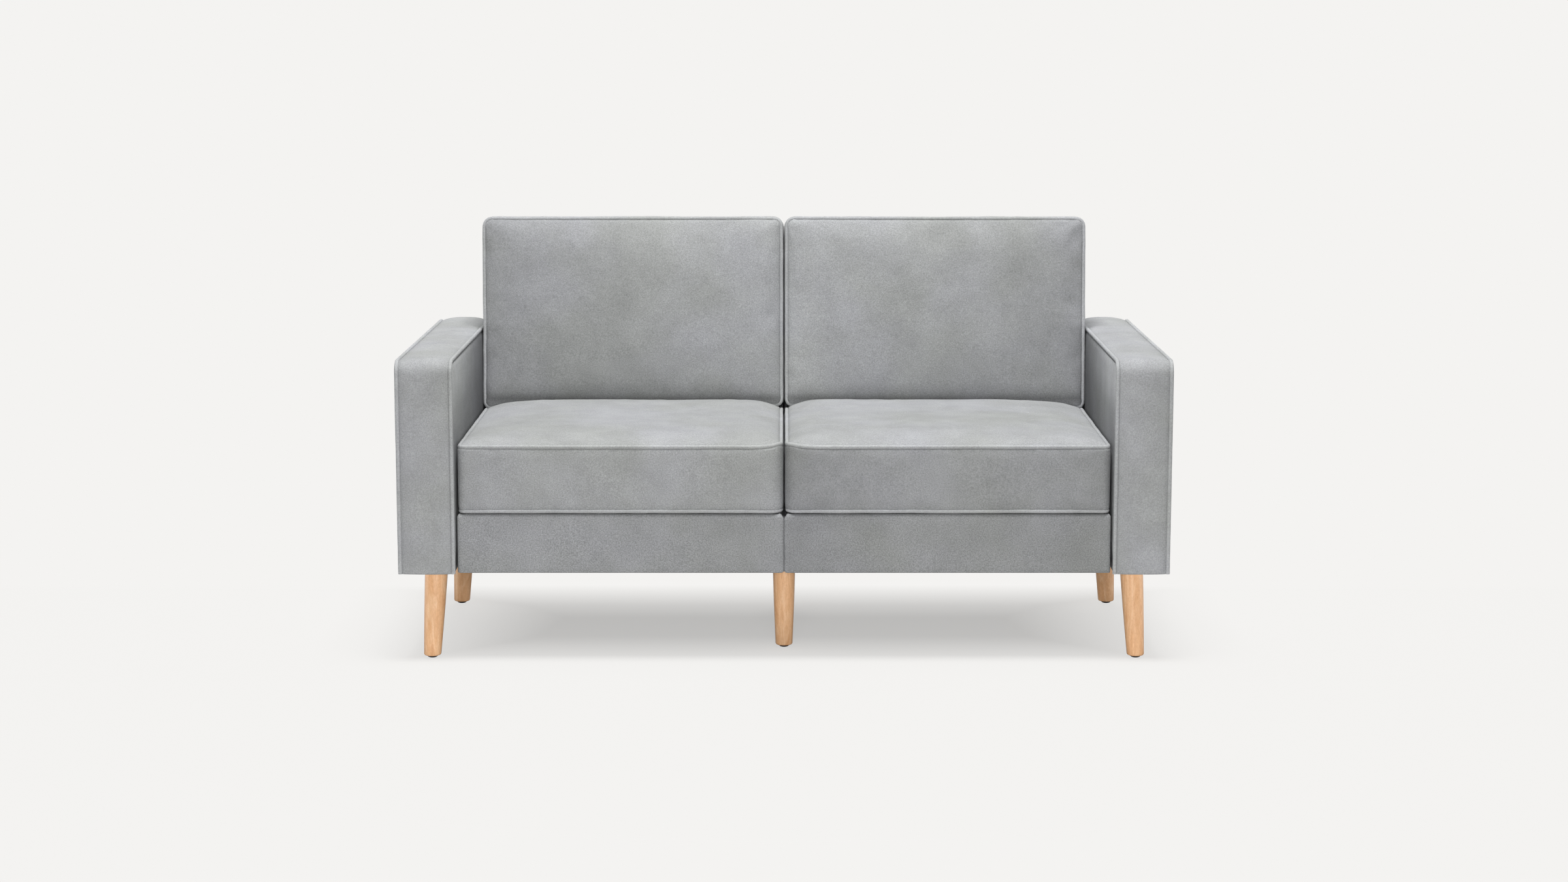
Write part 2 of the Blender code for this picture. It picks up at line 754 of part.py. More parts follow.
def make_bolts():
    """Bolts from the bases' rails into the arms, from one base to the other, and into the backs."""
    rail_inner = rail_inset + rail_thickness + touch_gap
    arm_bolts = (("front", arm_bolt_setback), ("rear", base_rear - arm_bolt_rear_inset))
    base_bolts = (("front", base_bolt_setback), ("rear", base_rear - base_bolt_rear_inset))
    for name, side in SIDES:
        head_x = side * (module_seam / 2 + module_width - rail_inner)
        arm_frame_x = arm_inner_x + arm_pad + touch_gap
        length = arm_frame_x + bolt_grip - abs(head_x)
        for end, setback in arm_bolts:
            head_at = (head_x, setback, leg_height + arm_bolt_height)
            make_bolt(f"arm_bolt_{name}_{end}", head_at, (side, 0, 0), length)

        head_y = base_rear - rail_inner
        frame_y = on_back(back_front_pad + touch_gap, along_at(0, leg_height + back_bolt_height))[0]
        length = frame_y + bolt_grip - head_y
        middle = side * (module_seam + module_width) / 2
        for end, offset in (("inner", -side * back_bolt_spread), ("outer", side * back_bolt_spread)):
            head_at = (middle + offset, head_y, leg_height + back_bolt_height)
            make_bolt(f"back_bolt_{name}_{end}", head_at, (0, 1, 0), length)

    half_length = module_seam / 2 + rail_inner
    for end, setback in base_bolts:
        head_at = (-half_length, setback, leg_height + base_bolt_height)
        make_bolt(f"base_bolt_{end}", head_at, (1, 0, 0), 2 * half_length, nut=True)


drilled = []
for name, side in SIDES:
    drilled += [*make_arm(name, side), *make_base(name, side), *make_back(name, side)]
make_springs()
make_cushions()
make_legs()
make_bolts()
for piece in drilled:
    drill(piece)

# The footprint runs from the arms' crowned fronts to the rear of the leaning backs
rear_most = max(point.x for point in back_outline(0, 0, leg_height, back_top_radius))
carrier.location = (0, (arm_crown - rear_most) / 2, 0)
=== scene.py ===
"""Looks of the two-seater sofa: velvet covers with welts, stuffed cushions, beech legs and a studio.

Metres, +Z up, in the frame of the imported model. The sofa faces -Y and stands on z = 0.
"""

import math
from dataclasses import dataclass

import bmesh
import bpy
import numpy as np
from mathutils import Matrix, Vector, noise
from mathutils.bvhtree import BVHTree


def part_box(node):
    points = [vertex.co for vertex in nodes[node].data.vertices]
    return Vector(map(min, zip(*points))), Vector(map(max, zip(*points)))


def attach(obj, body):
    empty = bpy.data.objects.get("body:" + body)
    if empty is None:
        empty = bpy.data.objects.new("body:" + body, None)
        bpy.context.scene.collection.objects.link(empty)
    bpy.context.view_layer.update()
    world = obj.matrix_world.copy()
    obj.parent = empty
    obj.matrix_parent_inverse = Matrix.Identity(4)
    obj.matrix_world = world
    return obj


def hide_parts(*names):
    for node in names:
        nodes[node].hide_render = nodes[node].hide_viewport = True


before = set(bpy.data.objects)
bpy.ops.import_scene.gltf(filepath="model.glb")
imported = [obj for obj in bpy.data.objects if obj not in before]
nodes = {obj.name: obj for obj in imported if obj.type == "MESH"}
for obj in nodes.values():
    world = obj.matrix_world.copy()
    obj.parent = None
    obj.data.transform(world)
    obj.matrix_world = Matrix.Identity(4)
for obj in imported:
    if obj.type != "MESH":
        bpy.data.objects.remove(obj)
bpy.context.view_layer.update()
scene = bpy.context.scene

SIDES = (("left", -1), ("right", 1))

# Mesh steps, fine beside the seams and growing to coarse between them
cover_fine_step = 0.003
cushion_fine_step = 0.0013
cover_coarse_step = 0.011
back_coarse_step = 0.012
cushion_coarse_step = 0.009
step_growth = 1.4

# Noise seeds, to which a piece's side is added
arm_seed = 11
back_seed = 31
base_seed = 51
seat_cushion_seed = 71
back_cushion_seed = 91

# Welts
arm_welt_radius = 0.0041
arm_welt_proud = 0.002
cushion_welt_radius = 0.0042
cushion_welt_proud = 0.0024
welt_spacing = 0.006
welt_unevenness = 0.05
welt_uneven_pitch = 0.025

# Arm covers
arm_front_radius = 0.022
arm_rear_radius = 0.07
arm_rear_fill = 0.0116
arm_rear_fill_power = 1.5
arm_crown = 0.006
arm_crown_power = 3
arm_padding = 0.011
arm_outer_inset = 0.0033
arm_inner_inset = 0.005
arm_outer_swell = 0.003
arm_inner_swell = 0.002
arm_swell_powers = (4, 6)
arm_inner_fullness = 0.0042
arm_inner_reach = 0.006
arm_foot_ease = 0.05
arc_middle_share = 0.586
inner_face_cosine = 0.9

# Base and back covers
base_corner_radius = 0.005
base_top_round = 0.008
base_foot_round = 0.003
base_round_points = 5
base_wall_points = 14
base_padding = 0.0075
base_fold_drop = 0.0005
base_notch = 0.0075
base_notch_foot_rise = 0.2
base_unevenness = 0.0006
base_uneven_pitch = 0.09
base_even_reach = 0.01
base_arm_swell = 0.0024
back_rake = math.radians(6)
back_length = 0.600
back_thickness = 0.075
back_corner_radius = 0.014
back_edge_radius = 0.016
back_padding = 0.0072
module_seam = 0.001
module_swell = 0.0007

# Seat cushions
touch_gap = 0.0003
seat_boxing = 0.129
seat_belly = 0.0047
seat_crown = 0.0150
seat_fullness = 0.0025
seat_arm_power = 4.2
seat_middle_power = 12
seat_along_power = 7
seat_ear = 0.006
ear_reach = 0.023
outer_front_radius = 0.011
inner_front_radius = 0.021

# Back cushions
back_boxing = 0.177
back_belly = 0.010
back_crown = 0.021
back_fullness = 0.006
back_across_powers = (3.4, 3.4)
back_along_power = 3.0
back_cushion_length = 0.400
back_foot_drop = 0.008
back_inner_lift = 0.006
back_foot_shift = 0.0137
back_foot_radius = 0.011
back_sink = 0.006

# Stuffing of both kinds of cushion
cushion_radius = 0.017
boxing_bulge = 0.0034
panel_roll = 0.004
roll_reach = 0.003
plump_reach = 0.014
belly_steepness = 6
seam_blend = 0.005
seam_wave = 0.0009
seam_wave_pitch = 0.07
seam_wave_reach = 0.03
seam_wave_rise = 0.6
stuffing_pressure = 3.0
stuffing_growth = 0.006
stuffing_frames = 18
boxing_give = 0.0015
panel_give = 0.003

# Where a back cushion stands on its seat
contact_gap = 0.0006
foot_softness = 0.004
press_softness = 0.003
press_search = 0.05
press_ray = 0.2

# Legs
leg_sides = 48
leg_rings = 9
leg_top_radius = 0.0228
leg_foot_radius = 0.0172
leg_belly = 0.0005
leg_foot_round = 0.0035
leg_round_points = 6
turned_sharp_angle = math.radians(35)
turned_cap_radius = 0.001
stud_sides = 16
stud_radius = 0.004
stud_core_share = 0.86
stud_length = 0.0148
stud_thread_steps = 22
glide_sides = 32
glide_rings = 9
glide_dome_share = 0.8
glide_cap_radius = 0.0005

# Camera, from the photograph's vanishing lines
camera_lens = 64.5
camera_sensor = 36
camera_distance = 5.448
camera_height = 1.284
camera_pitch = math.radians(8.765)

# Linear colours
backdrop_colour = (0.905, 0.896, 0.880)
floor_colour = (0.53, 0.526, 0.517)
velvet_cool = (0.366, 0.372, 0.384)
velvet_warm = (0.335, 0.343, 0.337)

# Shares of the colour in the velvet's speckle
speckle_middle = 0.89
speckle_spread = 0.17

# Painted shade and light on the arms' inner faces, as (place, share of the colour) along Y or Z: darker
# towards the rear by the back cushion and low down by the seat, lighter at the front and top
inner_arm_painted_shading_y = ((-0.42, 0.98), (-0.30, 1.0), (-0.15, 0.72), (-0.03, 0.50), (0.04, 0.38),
                  (0.12, 0.27), (0.4, 0.40))
inner_arm_painted_shading_z = ((0.45, 0.62), (0.50, 0.80), (0.555, 1.18), (0.60, 1.22))

# Painted shade and light along Z or X on the back cushions, the seat cushions' boxings and the bases, as
# (place, share of the colour)
# Back cushions: painted shade at the foot, darker where they stand on the seats
back_foot_painted_shade = ((0.442, 0.90), (0.456, 0.55), (0.4605, 0.62), (0.4678, 0.79), (0.475, 0.89),
                  (0.492, 1.0))
# Back cushions across X: painted shade and light, darker towards the arms and lighter by the middle seam
back_painted_shading_x = ((-0.63, 0.85), (-0.42, 0.90), (-0.25, 0.99), (-0.01, 1.01), (0.01, 1.12), (0.10, 0.99),
            (0.30, 0.98), (0.63, 0.86))
# Seat cushions' boxings across X: painted shade, darkest just past the middle seam and darker towards
# the ends
boxing_painted_shading_x = ((-0.64, 0.92), (-0.50, 1.0), (-0.01, 0.97), (0.01, 0.73), (0.30, 0.90), (0.64, 0.81))
# Bases across X: painted shade, darker beside the middle seam and towards the ends
base_painted_shading_x = ((-0.64, 0.94), (-0.50, 1.0), (-0.01, 0.92), (0.01, 0.81), (0.25, 0.95), (0.64, 0.87))

# Floor, with the share of the backdrop's light that it shows at places along Y and across X
floor_reach = 7
floor_fade_start = 1.3
floor_fade_end = 2.9
floor_glow_along = ((-0.60, 0.92), (-0.42, 0.83), (-0.18, 0.52), (0.0, 0.48), (0.12, 0.58), (0.34, 1.0))
floor_glow_across = ((0.0, 0.46), (0.45, 0.46), (0.85, 0.90))

# Lamps: name, place, target, size and power
world_strength = 0.15
lamps = (("key", (0, -1.2, 7.6), (0, 0, 0.4), (3.0, 2.4), 790),
         ("front", (0, -5.6, 1.0), (0, 0, 0.4), (1.8, 1.2), 165),
         ("rear", (0, 3.4, 1.6), (0, 0.4, 0.1), (3.0, 1.2), 60),
         ("left", (-4.5, 0.2, 0.42), (0, 0.2, 0.4), (2.4, 0.4), 42),
         ("right", (4.5, 0.2, 0.42), (0, 0.2, 0.4), (2.4, 0.4), 42))


# Meshes

def make_mesh(name, places, faces, smooth_angle=None):
    mesh = bpy.data.meshes.new(name)
    mesh.from_pydata([tuple(place) for place in places], [], faces)
    mesh.update()
    mesh.shade_smooth()
    if smooth_angle:
        mesh.set_sharp_from_angle(angle=smooth_angle)
    return mesh


def add_piece(name, mesh, material, body, replaced=()):
    """A shown piece that rides on a body and stands for the nodes that it replaces."""
    piece = bpy.data.objects.new(name, mesh)
    scene.collection.objects.link(piece)
    mesh.materials.clear()
    mesh.materials.append(material)
    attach(piece, body)
    if replaced:
        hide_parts(*replaced)
    return piece


def evaluated_mesh(piece):
    bpy.context.view_layer.update()
    graph = bpy.context.evaluated_depsgraph_get()
    return bpy.data.meshes.new_from_object(piece.evaluated_get(graph))


def read_places(mesh):
    places = np.zeros(len(mesh.vertices) * 3)
    mesh.vertices.foreach_get("co", places)
    return places.reshape(-1, 3)


def write_places(mesh, places):
    mesh.vertices.foreach_set("co", places.ravel())
    mesh.update()


def face_outwards(mesh):
    """Turns every face outwards; an open skin is judged by its middle."""
    bm = bmesh.new()
    bm.from_mesh(mesh)
    bmesh.ops.recalc_face_normals(bm, faces=bm.faces)
    middle = sum((vert.co for vert in bm.verts), Vector()) / len(bm.verts)
    leaning = sum(face.normal.dot(face.calc_center_median() - middle) * face.calc_area()
                  for face in bm.faces)
    if leaning < 0:
        bmesh.ops.reverse_faces(bm, faces=bm.faces)
    bm.to_mesh(mesh)
    bm.free()


def thicken(mesh, thickness):
    """The mesh of an open skin grown inwards to a padded wall."""
    skin = bpy.data.objects.new("skin", mesh)
    scene.collection.objects.link(skin)
    wall = skin.modifiers.new("wall", "SOLIDIFY")
    wall.thickness = thickness
    wall.offset = -1
    body = evaluated_mesh(skin)
    bpy.data.objects.remove(skin)
    return body


def with_third(pairs, third):
    """The pairs with a third column, which is one number or a number for each."""
    return np.column_stack([pairs, np.full(len(pairs), third)])


def transformed(places, matrix):
    turn = np.array(matrix.to_3x3())
    return np.asarray(places) @ turn.T + np.array(matrix.translation)


def matrix_of(across, along, through, origin):
    """From a form's axes to the sofa's frame."""
    turn = Matrix((across, along, through)).transposed().to_4x4()
    return Matrix.Translation(origin) @ turn


# Boxed forms: two like panels joined by a strip round their edges

@dataclass
class Form:
    """Places are (across, along, through), and outward is the way that padding swells.

    Low, high and strip are the indices of the places on the two panels and between them. Shares are
    (across, along) on a panel and (round, through) on the strip. Seam distance, seam length and edge
    normal are a place's distance from its seam, and the run and way outwards at the seam there. Rings
    are the indices along the two seams. The panels' faces come first.
    """

    places: np.ndarray
    outward: np.ndarray
    faces: list
    low: np.ndarray
    high: np.ndarray
    strip: np.ndarray
    shares: np.ndarray
    seam_distance: np.ndarray
    seam_length: np.ndarray
    edge_normal: np.ndarray
    rings: tuple
    panel_faces: int


def graded(length, fine, coarse):
    """Shares of a length from 0 to 1, close together at both ends."""
    steps = []
    step = fine
    while sum(steps) < length / 2:
        steps.append(step)
        step = min(step * step_growth, coarse)
    half = np.concatenate([[0], np.cumsum(steps)]) / (2 * sum(steps))
    return np.concatenate([half, 1 - half[-2::-1]])


def side_points(start, end, start_radius, end_radius, inward, shares):
    """Points along one side of a panel, with half of the round corner at each end."""
    start, end, inward = (np.array(item, float) for item in (start, end, inward))
    whole = np.linalg.norm(end - start)
    ahead = (end - start) / whole
    straight = whole - start_radius - end_radius
    first = start_radius * math.pi / 4
    last = end_radius * math.pi / 4
    points = []
    for run in shares * (first + straight + last):
        if run < first:
            angle = (first - run) / start_radius
            centre = start + (ahead + inward) * start_radius
            points.append(centre - start_radius * (inward * math.cos(angle) + ahead * math.sin(angle)))
        elif run > first + straight:
            angle = (run - first - straight) / end_radius
            centre = end + (inward - ahead) * end_radius
            points.append(centre - end_radius * (inward * math.cos(angle) - ahead * math.sin(angle)))
        else:
            points.append(start + ahead * (start_radius + run - first))
    return np.array(points)


def panel_grid(width, length, radii, across_shares, along_shares):
    """Points that fill a rounded rectangle, rows along its length."""
    corners = ((0, 0), (width, 0), (width, length), (0, length))
    foot = side_points(corners[0], corners[1], radii[0], radii[1], (0, 1), across_shares)
    right = side_points(corners[1], corners[2], radii[1], radii[2], (-1, 0), along_shares)
    head = side_points(corners[3], corners[2], radii[3], radii[2], (0, -1), across_shares)
    left = side_points(corners[0], corners[3], radii[0], radii[3], (1, 0), along_shares)
    across = across_shares[None, :, None]
    along = along_shares[:, None, None]
    between_ends = (1 - along) * foot[None] + along * head[None]
    between_sides = (1 - across) * left[:, None] + across * right[:, None]
    corner_part = ((1 - along) * ((1 - across) * foot[0] + across * foot[-1])
                   + along * ((1 - across) * head[0] + across * head[-1]))
    return between_ends + between_sides - corner_part


def edge_chain(rows, columns, open_foot=False):
    """Rows and columns of a grid's edge, clockwise from the foot's first corner."""
    chain = [(row, 0) for row in range(rows)]
    chain += [(rows - 1, column) for column in range(1, columns)]
    chain += [(row, columns - 1) for row in range(rows - 2, -1, -1)]
    if not open_foot:
        chain += [(0, column) for column in range(columns - 2, 0, -1)]
    return tuple(np.array(chain).T)


def edge_normals(edge, closed=True):
    """The way outwards at each point of a clockwise edge."""
    if closed:
        ahead = np.roll(edge, -1, axis=0) - np.roll(edge, 1, axis=0)
    else:
        ahead = np.gradient(edge, axis=0)
    outward = np.stack([-ahead[:, 1], ahead[:, 0]], axis=1)
    return outward / np.linalg.norm(outward, axis=1, keepdims=True)


def grid_faces(rows, closed=False):
    faces = []
    for row, following in zip(rows, rows[1:]):
        count = len(row)
        for index in range(count if closed else count - 1):
            after = (index + 1) % count
            corners = (row[index], row[after], following[after], following[index])
            faces.append(tuple(int(corner) for corner in corners))
    return faces


def boxed_form(width, length, depth, radii, fine, coarse, open_foot=False):
    """Radii are those of the panels' corners, from the foot's first corner anticlockwise."""
    across, along, inwards = (graded(size, fine, coarse) for size in (width, length, depth))
    grid = panel_grid(width, length, radii, across, along)
    rows, columns = grid.shape[:2]
    chain = edge_chain(rows, columns, open_foot)
    edge = grid[chain]
    edge_steps = np.linalg.norm(np.diff(edge, axis=0), axis=1)
    edge_run = np.concatenate([[0], np.cumsum(edge_steps)])

    flat = grid.reshape(-1, 2)
    reach = np.linalg.norm(flat[:, None] - edge[None], axis=2)
    panel_shares = np.stack(np.meshgrid(across, along), axis=2).reshape(-1, 2)
    around = np.tile(np.arange(len(edge)), len(inwards) - 2)
    through = np.repeat(inwards[1:-1], len(edge))
    strip_shares = np.column_stack([edge_run[around] / edge_run[-1], through])
    places = np.concatenate([with_third(flat, 0.0), with_third(flat, depth),
                             with_third(edge[around], through * depth)])
    distance = np.concatenate([np.tile(reach.min(axis=1), 2), np.minimum(through, 1 - through) * depth])
    nearest = np.concatenate([np.tile(reach.argmin(axis=1), 2), around])
    normals = edge_normals(edge, closed=not open_foot)[nearest]

    # Beside a seam the padding swells halfway between the panel's way and the strip's
    count = rows * columns
    is_panel = (np.arange(len(places)) < 2 * count)[:, None]
    sideways = with_third(normals, 0.0)
    endways = with_third(np.zeros_like(normals), np.where(places[:, 2] > depth / 2, 1.0, -1.0))
    near = np.clip(1 - distance / seam_blend, 0, 1)[:, None] ** 2
    outward = np.where(is_panel, endways, sideways) + near * np.where(is_panel, sideways, endways)
    outward /= np.linalg.norm(outward, axis=1, keepdims=True)

    low = np.arange(count).reshape(rows, columns)
    high = low + count
    strip = 2 * count + np.arange(len(around)).reshape(-1, len(edge))
    rings = (low[chain], high[chain])
    panels = grid_faces(low) + grid_faces(high[:, ::-1])
    faces = panels + grid_faces([rings[0], *strip, rings[1]], closed=not open_foot)
    return Form(places=places, outward=outward, faces=faces, low=low.ravel(), high=high.ravel(),
                strip=strip.ravel(), shares=np.vstack([panel_shares, panel_shares, strip_shares]),
                seam_distance=distance, seam_length=edge_run[nearest], edge_normal=normals,
                rings=rings, panel_faces=len(panels))


def dome(shares, across_power, along_power):
    """A panel's crown over its shares: nothing at the seams and 1 in the middle."""
    across = 1 - np.abs(2 * shares[:, 0] - 1) ** across_power
    along = 1 - np.abs(2 * shares[:, 1] - 1) ** along_power
    return across * along


def wander(positions, pitch, seed):
    """Smooth noise from about -1 to 1 that changes over the pitch."""
    offset = Vector((seed * 17.3, seed * 5.1, seed * 9.7))
    return np.array([noise.noise(Vector(place) / pitch + offset) for place in positions])


def soften(form, seed, tuck=0.0016, tuck_reach=0.007, pucker=0.0007, pucker_pitch=0.016,
           pucker_reach=0.014, swell=0.0008, swell_pitch=0.11):
    """Cloth's own unevenness: drawn in at the seams, puckered beside them and softly uneven between."""
    away = form.seam_distance
    amount = -tuck * np.exp(-(away / tuck_reach) ** 2)
    fade = (away / pucker_reach) * np.exp(1 - away / pucker_reach)
    along = np.column_stack([form.seam_length, form.places[:, 2] * 0.5, away * 0.25])
    amount += pucker * fade * wander(along, pucker_pitch, seed)
    amount += swell * (1 - np.exp(-away / pucker_reach)) * wander(form.places, swell_pitch, seed + 3)
    form.places += form.outward * amount[:, None]


def round_edges(form, radius):
    """Turns the square edge between panel and strip into an arc of this radius."""
    near = form.seam_distance < radius
    angle = (1 - form.seam_distance[near] / radius) * math.pi / 4
    in_plane = radius * np.sin(angle) - (radius - form.seam_distance[near])
    sunk = radius * (1 - np.cos(angle))
    strip_near = np.isin(np.flatnonzero(near), form.strip)
    towards_panel = np.where(form.places[near, 2] > form.places[:, 2].max() / 2, 1.0, -1.0)
    normals = with_third(form.edge_normal[near], 0.0)
    through = with_third(np.zeros((near.sum(), 2)), towards_panel)
    panel_move = normals * in_plane[:, None] - through * sunk[:, None]
    strip_move = through * in_plane[:, None] - normals * sunk[:, None]
    form.places[near] += np.where(strip_near[:, None], strip_move, panel_move)


# Shader nodes

def set_inputs(node, values):
    for name, value in values.items():
        node.inputs[name].default_value = value


def new_material(name, roughness, metallic=0.0):
    material = bpy.data.materials.new(name)
    material.use_nodes = True
    shader = material.node_tree.nodes["Principled BSDF"]
    set_inputs(shader, {"Roughness": roughness, "Metallic": metallic})
    return material, material.node_tree, shader


def add_node(tree, kind, values=None):
    """A shader node of a kind, with values for the inputs that are named."""
    node = tree.nodes.new(f"ShaderNode{kind}")
    set_inputs(node, values or {})
    return node


def link(tree, source, target):
    tree.links.new(source, target)


def grey(value):
    return (value, value, value)


def object_coordinates(tree, stretch=(1, 1, 1)):
    coordinates = add_node(tree, "TexCoord")
    mapping = add_node(tree, "Mapping", {"Scale": stretch})
    link(tree, coordinates.outputs["Object"], mapping.inputs["Vector"])
    return mapping.outputs["Vector"]


def axis_of(tree, coordinates, axis):
    apart = add_node(tree, "SeparateXYZ")
    link(tree, coordinates, apart.inputs["Vector"])
    return apart.outputs[axis]


def noise_value(tree, coordinates, scale, detail, roughness, distortion=0.0):
    node = add_node(tree, "TexNoise", {"Scale": scale, "Detail": detail, "Roughness": roughness,
                                       "Distortion": distortion})
    link(tree, coordinates, node.inputs["Vector"])
    return node.outputs["Fac"]


def maths(tree, operation, *values):
    node = add_node(tree, "Math")
    node.operation = operation
    for value, socket in zip(values, node.inputs):
        link(tree, value, socket)
    return node.outputs["Value"]


def ramp(tree, factor, stops):
    """A colour ramp; each stop is (position, colour)."""
    node = add_node(tree, "ValToRGB")
    elements = node.color_ramp.elements
    while len(elements) < len(stops):
        elements.new(0.5)
    for element, (position, colour) in zip(elements, stops):
        element.position = position
        element.color = (*colour, 1)
    link(tree, factor, node.inputs["Fac"])
    return node.outputs["Color"]


def share_along(tree, run, stops):
    """The share at a run along an axis, from stops of (place, share)."""
    start, end = stops[0][0], stops[-1][0]
    within = add_node(tree, "MapRange", {"From Min": start, "From Max": end})
    link(tree, run, within.inputs["Value"])
    positions = [((place - start) / (end - start), grey(share)) for place, share in stops]
    return ramp(tree, within.outputs["Result"], positions)


def multiply(tree, first, second):
    """The product of two colours; inputs 6 and 7 and output 2 are the node's colours."""
    node = add_node(tree, "Mix", {"Factor": 1.0})
    node.data_type = "RGBA"
    node.blend_type = "MULTIPLY"
    link(tree, first, node.inputs[6])
    link(tree, second, node.inputs[7])
    return node.outputs[2]


def mix_shaders(tree, share, first, second):
    node = add_node(tree, "MixShader")
    link(tree, share, node.inputs["Fac"])
    link(tree, first, node.inputs[1])
    link(tree, second, node.inputs[2])
    return node.outputs["Shader"]


def add_bump(tree, shader, height, distance, strength, under=None):
    """Bump on the shader, laid over the bump under it if there is one."""
    node = add_node(tree, "Bump", {"Strength": strength, "Distance": distance})
    link(tree, height, node.inputs["Height"])
    if under:
        link(tree, under, node.inputs["Normal"])
    link(tree, node.outputs["Normal"], shader.inputs["Normal"])
    return node.outputs["Normal"]


# Velvet, wood and the other finishes

def make_velvet(name, lift=1.0, grain=1.0, painted_shading=()):
    """Short-pile velvet: clouds where the nap leans, brushed patches, fine speckle and sheen.

    Lift brightens the colour and grain widens the speckle. A painted shading is an axis with (place,
    share) stops of painted shade and light.
    """
    material, tree, shader = new_material(name, roughness=0.88)
    set_inputs(shader, {"Sheen Weight": 0.03, "Sheen Roughness": 0.45,
                        "Sheen Tint": (0.93, 0.95, 1.0, 1), "Specular IOR Level": 0.08})
    place = object_coordinates(tree)
    clouds = noise_value(tree, place, scale=5.5, detail=3.0, roughness=0.5)
    cool = tuple(value * lift for value in velvet_cool)
    warm = tuple(value * lift for value in velvet_warm)
    colour = ramp(tree, clouds, [(0.36, warm), (0.64, cool)])
    patches = noise_value(tree, place, scale=15, detail=5.0, roughness=0.62, distortion=0.2)
    colour = multiply(tree, colour, ramp(tree, patches, [(0.3, grey(0.865)), (0.7, grey(1.025))]))
    speckle = noise_value(tree, place, scale=400, detail=3.0, roughness=0.7)
    darker = grey(speckle_middle - speckle_spread * grain)
    lighter = grey(speckle_middle + speckle_spread * grain)
    colour = multiply(tree, colour, ramp(tree, speckle, [(0.3, darker), (0.7, lighter)]))
    # Painted shade and light along each axis that is given
    for axis, stops in painted_shading:
        colour = multiply(tree, colour, share_along(tree, axis_of(tree, place, axis), stops))
    link(tree, colour, shader.inputs["Base Color"])
    pile = noise_value(tree, place, scale=900, detail=2.0, roughness=0.6)
    brushed = noise_value(tree, place, scale=60, detail=3.0, roughness=0.55)
    lower = add_bump(tree, shader, brushed, distance=0.0012, strength=0.7)
    add_bump(tree, shader, pile, distance=0.0004, strength=0.85, under=lower)
    return material


def make_beech():
    """Beech with its grain along Z: soft bands and short darker flecks under a thin lacquer."""
    material, tree, shader = new_material("beech", roughness=0.42)
    set_inputs(shader, {"Coat Weight": 0.12, "Coat Roughness": 0.3})
    place = object_coordinates(tree, (1.0, 1.0, 0.16))
    bands = noise_value(tree, place, scale=70, detail=3.0, roughness=0.5, distortion=1.8)
    colour = ramp(tree, bands, [(0.28, (0.64, 0.34, 0.16)), (0.5, (0.715, 0.415, 0.215)),
                                (0.72, (0.78, 0.505, 0.295))])
    fleck_place = object_coordinates(tree, (1.0, 1.0, 0.3))
    flecks = noise_value(tree, fleck_place, scale=260, detail=2.0, roughness=0.6, distortion=2.2)
    fleck_colour = ramp(tree, flecks, [(0.38, (0.94, 0.90, 0.87)), (0.58, grey(1.03))])
    link(tree, multiply(tree, colour, fleck_colour), shader.inputs["Base Color"])
    add_bump(tree, shader, flecks, distance=0.0002, strength=0.4)
    return material


def make_mottled(name, dark, light, scale, roughness, stretch=(1, 1, 1), metallic=0.0, bump=0.0004):
    """A plain finish with the unevenness that its real one has."""
    material, tree, shader = new_material(name, roughness, metallic)
    place = object_coordinates(tree, stretch)
    pattern = noise_value(tree, place, scale, detail=4.0, roughness=0.6, distortion=0.4)
    link(tree, ramp(tree, pattern, [(0.3, dark), (0.7, light)]), shader.inputs["Base Color"])
    add_bump(tree, shader, pattern, distance=bump, strength=0.5)
    return material


velvet = make_velvet("grey_velvet")
# Welts: a lighter copy of the velvet, a painted highlight along the cords
highlit_welt_velvet = make_velvet("grey_velvet_welt_painted_highlight", 1.14)
# Bases: a darker copy of the velvet, painted shade under the seat cushions, with painted shade across X
# and more speckle
shaded_base_velvet = make_velvet("grey_velvet_base_painted_shade", 0.88, 1.7, (("X", base_painted_shading_x),))
# Seat cushions' boxings: painted shade across X, and more speckle
shaded_boxing_velvet = make_velvet("grey_velvet_boxing_painted_shade", 1.0, 1.25, (("X", boxing_painted_shading_x),))
# Arms' inner faces: a lighter copy of the velvet with painted shade and light along Y and Z
inner_shaded_velvet = make_velvet("grey_velvet_inner_painted_shade", 1.4, 1.0, (("Y", inner_arm_painted_shading_y), ("Z", inner_arm_painted_shading_z)))
# Back cushions: painted shade at the foot and across X
shaded_back_velvet = make_velvet("grey_velvet_back_painted_shade", 1.0, 1.25, (("Z", back_foot_painted_shade), ("X", back_painted_shading_x)))
beech = make_beech()
glide_black = make_mottled("glide_black", (0.012, 0.012, 0.013), (0.025, 0.025, 0.026), 300, 0.45)
zinc = make_mottled("zinc_steel", (0.52, 0.53, 0.54), (0.68, 0.69, 0.70), 90, 0.34,
                    metallic=1.0, bump=0.0001)
spring_black = make_mottled("spring_steel", (0.10, 0.10, 0.11), (0.19, 0.19, 0.20), 160, 0.42,
                            metallic=1.0)
pine = make_mottled("frame_timber", (0.47, 0.31, 0.16), (0.70, 0.52, 0.32), 38, 0.7,
                    stretch=(1.0, 0.14, 1.0))
fibre_board = make_mottled("fibre_board", (0.30, 0.21, 0.13), (0.44, 0.33, 0.22), 220, 0.82)
lining = make_mottled("black_lining", (0.016, 0.016, 0.018), (0.042, 0.042, 0.045), 700, 0.93)


# Welts

